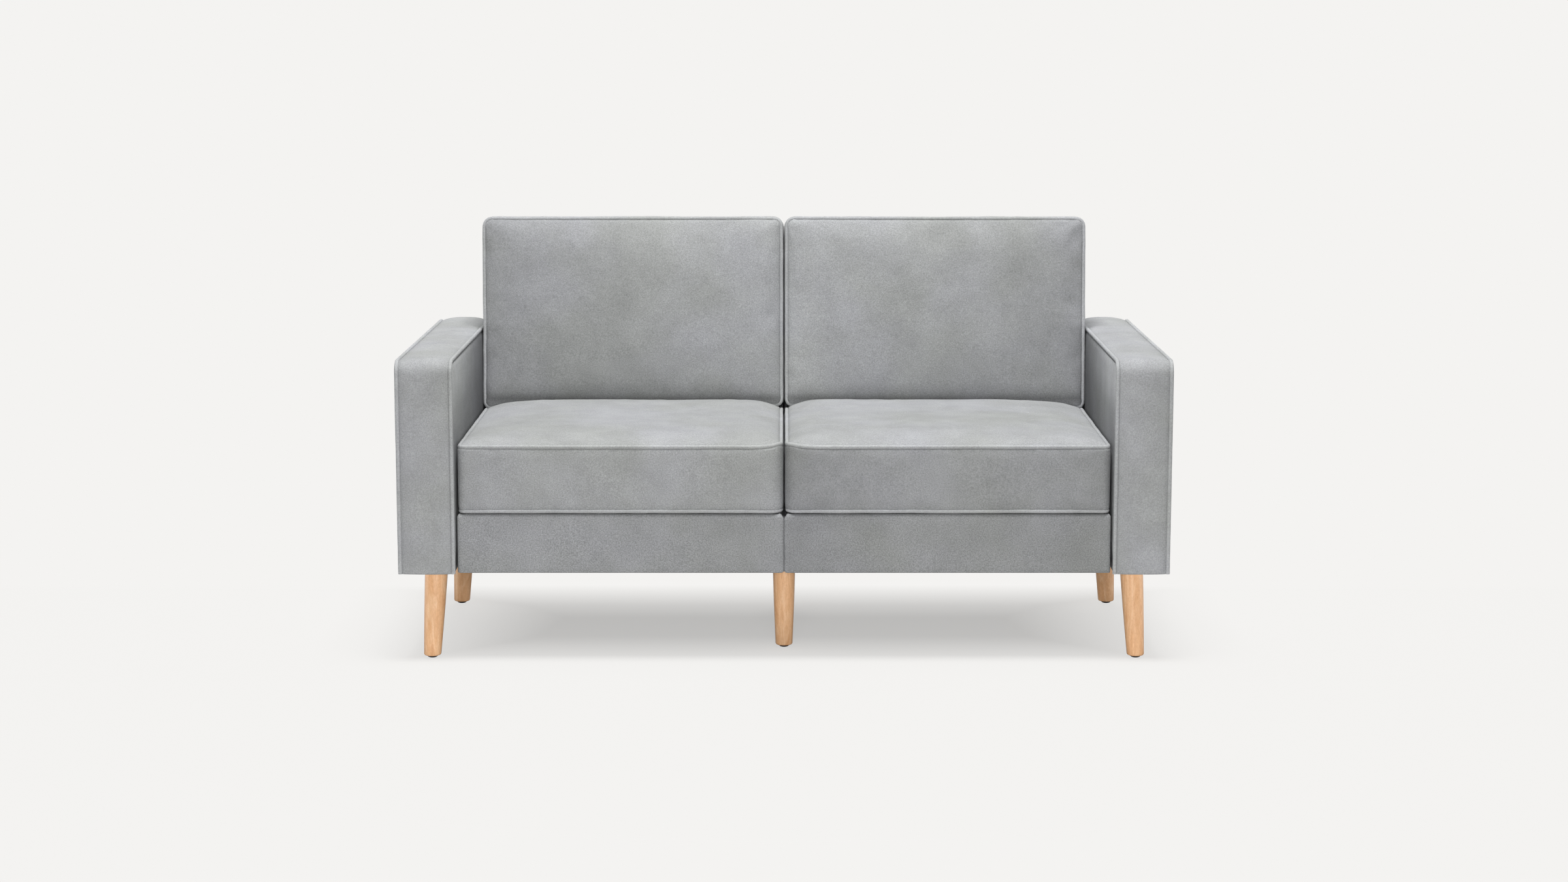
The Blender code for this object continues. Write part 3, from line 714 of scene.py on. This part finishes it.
def seam_path(form, ring, proud, place, closed):
    """A seam's path at even spacing, a little proud of the cloth."""
    path = transformed(form.places[ring] + form.outward[ring] * proud, place)
    if closed:
        path = np.vstack([path, path[:1]])
    runs = np.concatenate([[0], np.cumsum(np.linalg.norm(np.diff(path, axis=0), axis=1))])
    count = max(int(runs[-1] / welt_spacing), 4)
    stations = np.linspace(0, runs[-1], count + 1)
    if closed:
        stations = stations[:-1]
    return np.column_stack([np.interp(stations, runs, path[:, axis]) for axis in range(3)])


def welt(name, places, radius, body, closed):
    """A covered cord sewn into a seam."""
    curve = bpy.data.curves.new(name, "CURVE")
    curve.dimensions = "3D"
    curve.bevel_depth = radius
    curve.bevel_resolution = 4
    curve.use_fill_caps = True
    spline = curve.splines.new("POLY")
    spline.points.add(len(places) - 1)
    for point, place in zip(spline.points, places):
        point.co = (*place, 1)
        point.radius = 1 + welt_unevenness * noise.noise(Vector(place) / welt_uneven_pitch)
    spline.use_cyclic_u = closed
    spline.use_smooth = True
    return add_piece(name, curve, highlit_welt_velvet, body)


# Covers of the arms, bases and backs

def add_cover(kind, name, form, place, padding):
    """A padded wall of velvet for the arm or back cover of a side."""
    mesh = make_mesh(f"{kind}_upholstery_{name}", transformed(form.places, place), form.faces)
    face_outwards(mesh)
    return add_piece(f"{kind}_upholstery_{name}", thicken(mesh, padding), velvet, "frame",
                     [f"{kind}_cover_{name}"])


def arm_strip_crown(form, depth, height):
    """The strip's arch, fuller at the rear, where the cloth's corner is rounder than the solid's."""
    arch = 1 - np.abs(2 * form.shares[form.strip, 1] - 1) ** arm_crown_power
    from_corner = np.linalg.norm(form.places[form.strip, :2] - (depth, height), axis=1)
    # The arc's middle is nearer to the square corner than its ends are, by this share of the radius
    arc_rise = arc_middle_share * arm_rear_radius
    shoulder = np.clip((arm_rear_radius - from_corner) / arc_rise, 0, 1) ** arm_rear_fill_power
    return arch * (arm_crown + arm_rear_fill * shoulder)


def make_arm(name, side):
    """A boxed cover round three sides, with a welt along each edge of its strip."""
    low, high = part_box(f"arm_cover_{name}")
    front = low.y + arm_crown
    depth = high.y - arm_crown - front
    height = high.z - arm_crown - low.z
    inner = min(abs(low.x), abs(high.x)) + arm_inner_inset
    width = high.x - low.x - arm_inner_inset - arm_outer_inset
    radii = (0, 0, arm_rear_radius, arm_front_radius)
    form = boxed_form(depth, height, width, radii, cover_fine_step, cover_coarse_step, open_foot=True)

    swell = dome(form.shares, *arm_swell_powers)
    fullness = 1 - np.exp(-form.seam_distance / arm_inner_reach)
    amount = np.zeros(len(form.places))
    amount[form.low] = (arm_inner_swell * swell + arm_inner_fullness * fullness)[form.low]
    amount[form.high] = (arm_outer_swell * swell)[form.high]
    amount *= np.minimum(form.shares[:, 1] * height / arm_foot_ease, 1)
    amount[form.strip] = arm_strip_crown(form, depth, height)
    form.places += form.outward * amount[:, None]
    soften(form, arm_seed + side, tuck=0.0024, tuck_reach=0.004, pucker=0.0003)

    place = matrix_of((0, 1, 0), (0, 0, 1), (side, 0, 0), (side * inner, front, low.z))
    cover = add_cover("arm", name, form, place, arm_padding)
    # The faces that look inwards take the velvet with painted shade and light
    cover.data.materials.append(inner_shaded_velvet)
    for polygon in cover.data.polygons:
        polygon.material_index = 1 if polygon.normal.x * side < -inner_face_cosine else 0
    for ring, ring_name in zip(form.rings, ("inner", "outer")):
        path = seam_path(form, ring, arm_welt_proud, place, closed=False)
        welt(f"arm_welt_{name}_{ring_name}", path, arm_welt_radius, "frame", closed=False)


def module_ends(low, high, side, arm_swell=0.0):
    """A module's ends in X, swollen at the seam between the modules and at the arm."""
    if side > 0:
        return low.x - module_swell, high.x + arm_swell
    return low.x - arm_swell, high.x + module_swell


def make_back(name, side):
    """A padded cover over the leaning back, rounded at its edges and open underneath."""
    base_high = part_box(f"base_cover_{name}")[1]
    low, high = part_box(f"back_cover_{name}")
    start, end = module_ends(low, high, side)
    radii = (0, 0, back_corner_radius, back_corner_radius)
    form = boxed_form(end - start, back_length, back_thickness, radii, cover_fine_step,
                      back_coarse_step, open_foot=True)
    round_edges(form, back_edge_radius)
    soften(form, back_seed + side, tuck=0.001, tuck_reach=0.003, swell=0.0012)

    # The foot is cut level, across the lean
    foot = form.places[:, 2] * math.tan(back_rake)
    form.places[:, 1] += foot * np.clip(1 - form.places[:, 1] / back_length, 0, 1)
    up = (0, math.sin(back_rake), math.cos(back_rake))
    rearwards = (0, math.cos(back_rake), -math.sin(back_rake))
    place = matrix_of((1, 0, 0), up, rearwards, (start, base_high.y + module_seam, low.z))
    cover = add_cover("back", name, form, place, back_padding)


def base_profile(height):
    """Points of (offset outwards, height): a fold under the rails, the face and a fold over them."""
    arc = np.linspace(0, math.pi / 2, base_round_points)
    foot = [(-base_foot_round * (1 - math.sin(angle)), base_foot_round * (1 - math.cos(angle)))
            for angle in arc]
    wall = np.linspace(base_foot_round, height - base_top_round, base_wall_points)[1:-1]
    top = [(-base_top_round * (1 - math.cos(angle)), height - base_top_round * (1 - math.sin(angle)))
           for angle in arc]
    return [(-base_padding, 0), *foot, *[(0, z) for z in wall], *top,
            (-base_padding, height - base_fold_drop)]


def make_base(name, side):
    """The base's cover: an outer face with a soft top edge, folded in over the rails."""
    low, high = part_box(f"base_cover_{name}")
    start, end = module_ends(low, high, side, base_arm_swell)
    width = end - start
    depth = high.y - low.y
    height = high.z - low.z
    across, along = (graded(size, cover_fine_step, cover_coarse_step) for size in (width, depth))
    grid = panel_grid(width, depth, [base_corner_radius] * 4, across, along)
    edge = grid[edge_chain(*grid.shape[:2])]
    outward = edge_normals(edge)
    from_seam = edge[:, 0] if side > 0 else width - edge[:, 0]
    notch = base_notch * np.clip(1 - from_seam / base_notch, 0, 1) ** 2
    rows = []
    for offset, z in base_profile(height):
        ring = with_third(edge + outward * offset, z + notch * (base_notch_foot_rise - z / height))
        if 0 < z < height and offset > -base_padding:
            uneven = base_unevenness * wander(ring, base_uneven_pitch, base_seed + side)
            uneven *= np.abs(ring[:, 0] + start) > base_even_reach
            ring[:, :2] += outward * uneven[:, None]
        rows.append(ring)
    places = np.concatenate(rows) + (start, low.y, low.z)
    indices = np.arange(len(places)).reshape(len(rows), len(edge))
    faces = grid_faces([*indices, indices[0]], closed=True)
    mesh = make_mesh(f"base_upholstery_{name}", places, faces)
    face_outwards(mesh)
    cover = add_piece(f"base_upholstery_{name}", mesh, shaded_base_velvet, "frame",
                      [f"base_cover_{name}"])


# Cushions

@dataclass
class Stuffing:
    """Heights of the crown, of the fullness beside the welts and of the belly underneath.

    The powers say how flat the crown is: across its first half and its second, and along.
    """

    crown: float
    fullness: float
    belly: float
    across_powers: tuple
    along_power: float


@dataclass
class Cushion:
    """A cushion's mesh and its lower and upper seams; panel_faces come before the boxing's."""

    name: str
    mesh: bpy.types.Mesh
    seams: list
    panel_faces: int


def stuffed_form(size, radii, stuffing, seed):
    """A boxed form whose seams lie a belly above the side that it rests on."""
    form = boxed_form(*size, radii, cushion_fine_step, cushion_coarse_step)
    across_power = np.where(form.shares[:, 0] < 0.5, *stuffing.across_powers)
    crown = dome(form.shares, across_power, stuffing.along_power)
    roll = 1 - np.exp(-(form.seam_distance / roll_reach) ** 2)
    plump = 1 - np.exp(-form.seam_distance / plump_reach)
    top = stuffing.crown * crown + panel_roll * roll + stuffing.fullness * plump
    amount = boxing_bulge * roll
    amount[form.high] = top[form.high]
    amount[form.low] = stuffing.belly * np.minimum(1, belly_steepness * crown[form.low])
    form.places += form.outward * amount[:, None]
    soften(form, seed, tuck=0.003, tuck_reach=0.0022, pucker=0.0003, pucker_pitch=0.017, swell=0.0012)

    # The seams run in soft waves, always drawn in and up or down
    along = np.column_stack([form.seam_length, form.places[:, 2], np.zeros(len(form.places))])
    wave = seam_wave * wander(along, seam_wave_pitch, seed)
    fade = np.exp(-form.seam_distance / seam_wave_reach)
    form.places[:, :2] -= form.edge_normal * (np.abs(wave) * fade)[:, None]
    form.places[:, 2] += wave * fade * seam_wave_rise + stuffing.belly
    form.places[form.low, 2] = np.maximum(form.places[form.low, 2], 0)
    return form


def blow_up(mesh, held, give):
    """Cloth under pressure, fixed at the held places; the others' moves level off at their give."""
    piece = bpy.data.objects.new("stuffing", mesh)
    scene.collection.objects.link(piece)
    group = piece.vertex_groups.new(name="held")
    group.add([int(index) for index in held], 1.0, "REPLACE")
    cloth = piece.modifiers.new("stuffing", "CLOTH")
    settings = cloth.settings
    settings.quality = 5
    settings.mass = 0.3
    settings.tension_stiffness = 18
    settings.compression_stiffness = 18
    settings.shear_stiffness = 9
    settings.bending_stiffness = 2.5
    settings.air_damping = 4
    settings.use_pressure = True
    settings.uniform_pressure_force = stuffing_pressure
    settings.shrink_min = -stuffing_growth
    settings.vertex_group_mass = group.name
    settings.effector_weights.gravity = 0
    cloth.collision_settings.use_collision = False
    cloth.collision_settings.use_self_collision = False
    cloth.point_cache.frame_start = 1
    cloth.point_cache.frame_end = stuffing_frames
    for number in range(1, stuffing_frames + 1):
        scene.frame_set(number)
    blown = evaluated_mesh(piece)
    before = read_places(mesh)
    move = read_places(blown) - before
    bpy.data.objects.remove(piece)
    bpy.data.meshes.remove(blown)
    scene.frame_set(1)
    far = np.linalg.norm(move, axis=1, keepdims=True)
    move *= give[:, None] / (give[:, None] + far)
    write_places(mesh, before + move)


def sewn_cushion(name, form, place):
    """The form as a mesh in its place, blown up, with its seams' paths."""
    mesh = make_mesh(name, transformed(form.places, place), form.faces)
    face_outwards(mesh)
    held = np.unique(np.concatenate([form.low, *form.rings]))
    give = np.full(len(form.places), panel_give)
    give[form.strip] = boxing_give
    blow_up(mesh, held, give)
    seams = [seam_path(form, ring, cushion_welt_proud, place, closed=True) for ring in form.rings]
    return Cushion(name, mesh, seams, form.panel_faces)


def from_middle(form, width, side):
    """Distances across a cushion from its end at the sofa's middle."""
    return form.places[:, 0] if side > 0 else width - form.places[:, 0]


def make_seat_pad(name, side):
    """A seat cushion: rounder at the arm, and raised at the front corner by the sofa's middle."""
    low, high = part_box(f"seat_cushion_{name}")
    radius = cushion_welt_radius
    width = high.x - low.x - 2 * radius
    size = (width, high.y - low.y - 2 * radius, seat_boxing)
    front_radii = (outer_front_radius, inner_front_radius)
    across_powers = (seat_arm_power, seat_middle_power)
    if side > 0:
        front_radii = front_radii[::-1]
        across_powers = across_powers[::-1]
    stuffing = Stuffing(seat_crown, seat_fullness, seat_belly, across_powers, seat_along_power)
    radii = (*front_radii, cushion_radius, cushion_radius)
    form = stuffed_form(size, radii, stuffing, seat_cushion_seed + side)

    from_corner = np.hypot(from_middle(form, width, side), form.places[:, 1])
    rise = np.clip((form.places[:, 2] - seat_belly) / seat_boxing, 0, 1) ** 2
    form.places[:, 2] += seat_ear * rise * np.exp(-(from_corner / ear_reach) ** 2)
    place = matrix_of((1, 0, 0), (0, 1, 0), (0, 0, 1), (low.x + radius, low.y + radius, low.z))
    return sewn_cushion(f"seat_pad_{name}", form, place)


def make_back_pad(name, side):
    """A back cushion that leans on its back, its foot drawn forward and lifted at the sofa's middle."""
    low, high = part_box(f"back_cushion_{name}")
    base_low, base_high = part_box(f"base_cover_{name}")
    radius = cushion_welt_radius
    width = high.x - low.x - 2 * radius + 2 * touch_gap
    length = back_cushion_length - 2 * radius
    stuffing = Stuffing(back_crown, back_fullness, back_belly, back_across_powers, back_along_power)
    radii = (back_foot_radius, back_foot_radius, cushion_radius, cushion_radius)
    form = stuffed_form((width, length, back_boxing), radii, stuffing, back_cushion_seed + side)

    through = np.clip((form.places[:, 2] - back_belly) / back_boxing, 0, 1)
    above = np.clip(1 - form.places[:, 1] / length, 0, 1)
    to_middle = np.clip(1 - from_middle(form, width, side) / width, 0, 1)
    form.places[:, 1] -= back_foot_shift * through * above
    form.places[:, 1] += back_inner_lift * to_middle ** 8 * above ** 4
    up = Vector((0, math.sin(back_rake), math.cos(back_rake)))
    forwards = Vector((0, -math.cos(back_rake), math.sin(back_rake)))
    climb = (low.z - base_low.z) / up.z + radius - back_foot_drop
    foot = Vector((low.x + radius - touch_gap, base_high.y + module_seam, base_low.z))
    place = matrix_of((1, 0, 0), up, forwards, foot + up * climb + forwards * touch_gap)
    return sewn_cushion(f"back_pad_{name}", form, place)


def soft_minimum(value, limit, softness):
    """The lower of two heights, rounded where they cross."""
    share = np.clip(0.5 + 0.5 * (limit - value) / softness, 0, 1)
    return limit + (value - limit) * share - softness * share * (1 - share)


def give_way(places, tree, level, clearance):
    """Lowers the places that lie under what stands on the seat."""
    start = level - press_search
    for place in places:
        hit = tree.ray_cast(Vector((place[0], place[1], start)), Vector((0, 0, 1)), press_ray)[0]
        if hit and place[2] > start:
            place[2] = soft_minimum(place[2], hit.z - clearance, press_softness)


def press_under(seat, back, level):
    """Flattens the back cushion's foot at a level, and lets the seat give way under it and its welts."""
    places = read_places(back.mesh)
    places[:, 2] = -soft_minimum(-places[:, 2], -level, foot_softness)
    write_places(back.mesh, places)
    bm = bmesh.new()
    bm.from_mesh(back.mesh)
    for path in back.seams:
        path[:, 2] = np.maximum(path[:, 2], level + cushion_welt_radius)
        for place in path:
            spot = Matrix.Translation(place)
            bmesh.ops.create_icosphere(bm, subdivisions=1, radius=cushion_welt_radius, matrix=spot)
    tree = BVHTree.FromBMesh(bm)
    bm.free()
    places = read_places(seat.mesh)
    give_way(places, tree, level, contact_gap)
    write_places(seat.mesh, places)
    give_way(seat.seams[1], tree, level, contact_gap + cushion_welt_radius)


def finish_cushion(cushion, material, boxing_material, body, replaced):
    piece = add_piece(cushion.name, cushion.mesh, material, body, [replaced])
    piece.data.materials.append(boxing_material)
    for polygon in piece.data.polygons:
        polygon.material_index = 0 if polygon.index < cushion.panel_faces else 1
    for path, edge in zip(cushion.seams, ("lower", "upper")):
        welt(f"{cushion.name}_welt_{edge}", path, cushion_welt_radius, body, closed=True)


def make_cushions(name, side):
    """A seat cushion and the back cushion that stands on it."""
    seat = make_seat_pad(name, side)
    back = make_back_pad(name, side)
    seat_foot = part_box(f"seat_cushion_{name}")[0].z
    level = seat_foot + seat_belly + seat_boxing + cushion_welt_radius - back_sink
    press_under(seat, back, level)
    finish_cushion(seat, velvet, shaded_boxing_velvet, f"seat_{name}", f"seat_cushion_{name}")
    finish_cushion(back, shaded_back_velvet, velvet, f"back_{name}", f"back_cushion_{name}")


# Legs

def turned(name, profile, sides, centre, lean=(0, 0)):
    """A profile of (radius, height) turned round a centre, moved by the lean for each metre down."""
    top = max(height for _, height in profile)
    angles = np.arange(sides) * 2 * math.pi / sides
    rows = []
    for radius, height in profile:
        drop = top - height
        across = radius * np.cos(angles) + lean[0] * drop + centre.x
        along = radius * np.sin(angles) + lean[1] * drop + centre.y
        rows.append(np.column_stack([across, along, np.full(sides, height)]))
    indices = np.arange(len(rows) * sides).reshape(len(rows), sides)
    faces = grid_faces(indices, closed=True)
    faces += [tuple(int(index) for index in indices[end]) for end in (0, -1)]
    mesh = make_mesh(name, np.concatenate(rows), faces, turned_sharp_angle)
    face_outwards(mesh)
    return mesh


def leg_profile(foot, top):
    """From an eased foot up to the top, with a slight belly between."""
    height = top - foot
    profile = [(turned_cap_radius, foot)]
    for angle in np.linspace(0, math.pi / 2, leg_round_points):
        profile.append((leg_foot_radius - leg_foot_round * (1 - math.sin(angle)),
                        foot + leg_foot_round * (1 - math.cos(angle))))
    for share in np.linspace(0, 1, leg_rings)[1:]:
        radius = leg_foot_radius + (leg_top_radius - leg_foot_radius) * share
        profile.append((radius + leg_belly * math.sin(math.pi * share),
                        foot + leg_foot_round + (height - leg_foot_round) * share))
    return profile


def make_leg(name):
    """Turned beech leg, its threaded stud, and the domed glide under it."""
    plate_low, plate_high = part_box(f"leg_plate_{name}")
    glide_low, glide_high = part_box(f"glide_{name}")
    leg_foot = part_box(f"leg_{name}")[0].z
    head = (plate_low + plate_high) / 2
    foot = (glide_low + glide_high) / 2
    top = plate_low.z - touch_gap
    drop = top - leg_foot
    lean = ((foot.x - head.x) / drop, (foot.y - head.y) / drop)
    leg = turned(f"leg_{name}", leg_profile(leg_foot, top), leg_sides, head, lean)
    add_piece(f"turned_leg_{name}", leg, beech, "frame", [f"leg_{name}"])

    thread = []
    for step in range(stud_thread_steps + 1):
        radius = stud_radius * (1 if step % 2 else stud_core_share)
        thread.append((radius, top + touch_gap + step * stud_length / stud_thread_steps))
    stud = turned(f"stud_{name}", [*thread, (turned_cap_radius, thread[-1][1])], stud_sides, head)
    add_piece(f"leg_stud_{name}", stud, zinc, "frame")

    radius = (glide_high.x - glide_low.x) / 2
    height = glide_high.z
    profile = []
    for angle in np.linspace(0, math.pi / 2, glide_rings):
        profile.append((max(radius * math.sin(angle), glide_cap_radius),
                        height * glide_dome_share * (1 - math.cos(angle))))
    profile += [(radius, height), (glide_cap_radius, height)]
    glide = turned(f"glide_{name}", profile, glide_sides, foot)
    add_piece(f"domed_glide_{name}", glide, glide_black, "frame", [f"glide_{name}"])


# Finishes of the nodes that stay as they are
finishes = (("arm_frame", pine), ("base_frame", pine), ("back_frame", pine), ("arm_bottom", fibre_board),
            ("seat_deck", lining), ("dust_cover", lining), ("zigzag_spring", spring_black),
            ("leg_plate", zinc), ("arm_bolt", zinc), ("base_bolt", zinc), ("back_bolt", zinc))
for node_name, node in nodes.items():
    for start, finish in finishes:
        if node_name.startswith(start):
            node.data.materials.clear()
            node.data.materials.append(finish)

for side_name, side in SIDES:
    make_arm(side_name, side)
    make_base(side_name, side)
    make_back(side_name, side)
    make_cushions(side_name, side)
for row in ("front", "rear"):
    for place_name in ("left", "centre", "right"):
        make_leg(f"{row}_{place_name}")


# Studio

def floor_surface(tree, shader):
    """To the camera the floor shows part of the backdrop's light, and more of it further out."""
    place = add_node(tree, "TexCoord").outputs["Object"]
    along = share_along(tree, axis_of(tree, place, "Y"), floor_glow_along)
    from_centre = maths(tree, "ABSOLUTE", axis_of(tree, place, "X"))
    across = share_along(tree, from_centre, floor_glow_across)
    camera_ray = add_node(tree, "LightPath").outputs["Is Camera Ray"]
    share = maths(tree, "MULTIPLY", camera_ray, maths(tree, "MAXIMUM", along, across))
    glow = add_node(tree, "Emission", {"Color": (*backdrop_colour, 1)})
    lit = mix_shaders(tree, share, shader.outputs["BSDF"], glow.outputs["Emission"])

    distance = add_node(tree, "VectorMath")
    distance.operation = "LENGTH"
    link(tree, place, distance.inputs[0])
    fade = add_node(tree, "MapRange", {"From Min": floor_fade_start, "From Max": floor_fade_end})
    fade.interpolation_type = "SMOOTHSTEP"
    link(tree, distance.outputs["Value"], fade.inputs["Value"])
    from_below = add_node(tree, "NewGeometry").outputs["Backfacing"]
    hidden = maths(tree, "MAXIMUM", fade.outputs["Result"], from_below)
    clear = add_node(tree, "BsdfTransparent")
    return mix_shaders(tree, hidden, lit, clear.outputs["BSDF"])


def make_floor():
    """A pale floor that turns into the backdrop at a distance and isn't seen from below."""
    mesh = bpy.data.meshes.new("floor")
    bm = bmesh.new()
    bmesh.ops.create_grid(bm, x_segments=1, y_segments=1, size=floor_reach)
    bm.to_mesh(mesh)
    bm.free()
    floor = bpy.data.objects.new("floor", mesh)
    scene.collection.objects.link(floor)
    material, tree, shader = new_material("floor", roughness=0.95)
    set_inputs(shader, {"Base Color": (*floor_colour, 1), "Specular IOR Level": 0.0})
    link(tree, floor_surface(tree, shader), tree.nodes["Material Output"].inputs["Surface"])
    mesh.materials.append(material)


def make_world():
    """Even light on the sofa, and the backdrop's colour for the camera, gloss and glass."""
    world = bpy.data.worlds.new("studio")
    scene.world = world
    world.use_nodes = True
    tree = world.node_tree
    light = tree.nodes["Background"]
    set_inputs(light, {"Color": (1.0, 1.0, 1.0, 1), "Strength": world_strength})
    seen = add_node(tree, "Background", {"Color": (*backdrop_colour, 1), "Strength": 1})
    rays = add_node(tree, "LightPath")
    direct = maths(tree, "MAXIMUM", rays.outputs["Is Camera Ray"], rays.outputs["Is Glossy Ray"])
    sees_it = maths(tree, "MAXIMUM", direct, rays.outputs["Is Transmission Ray"])
    surface = mix_shaders(tree, sees_it, light.outputs["Background"], seen.outputs["Background"])
    link(tree, surface, tree.nodes["World Output"].inputs["Surface"])


def add_lamp(name, place, target, size, power):
    lamp = bpy.data.lights.new(name, "AREA")
    lamp.shape = "RECTANGLE"
    lamp.size, lamp.size_y = size
    lamp.energy = power
    holder = bpy.data.objects.new(name, lamp)
    holder.location = place
    holder.rotation_euler = (Vector(target) - Vector(place)).to_track_quat("-Z", "Y").to_euler()
    scene.collection.objects.link(holder)


make_floor()
make_world()
for lamp_values in lamps:
    add_lamp(*lamp_values)

camera_data = bpy.data.cameras.new("camera")
camera_data.lens = camera_lens
camera_data.sensor_width = camera_sensor
camera = bpy.data.objects.new("camera", camera_data)
arm_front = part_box("arm_cover_left")[0].y + arm_crown
camera.location = (0, arm_front - camera_distance, camera_height)
camera.rotation_euler = (math.pi / 2 - camera_pitch, 0, 0)
scene.collection.objects.link(camera)
scene.camera = camera
scene.view_settings.view_transform = "Standard"
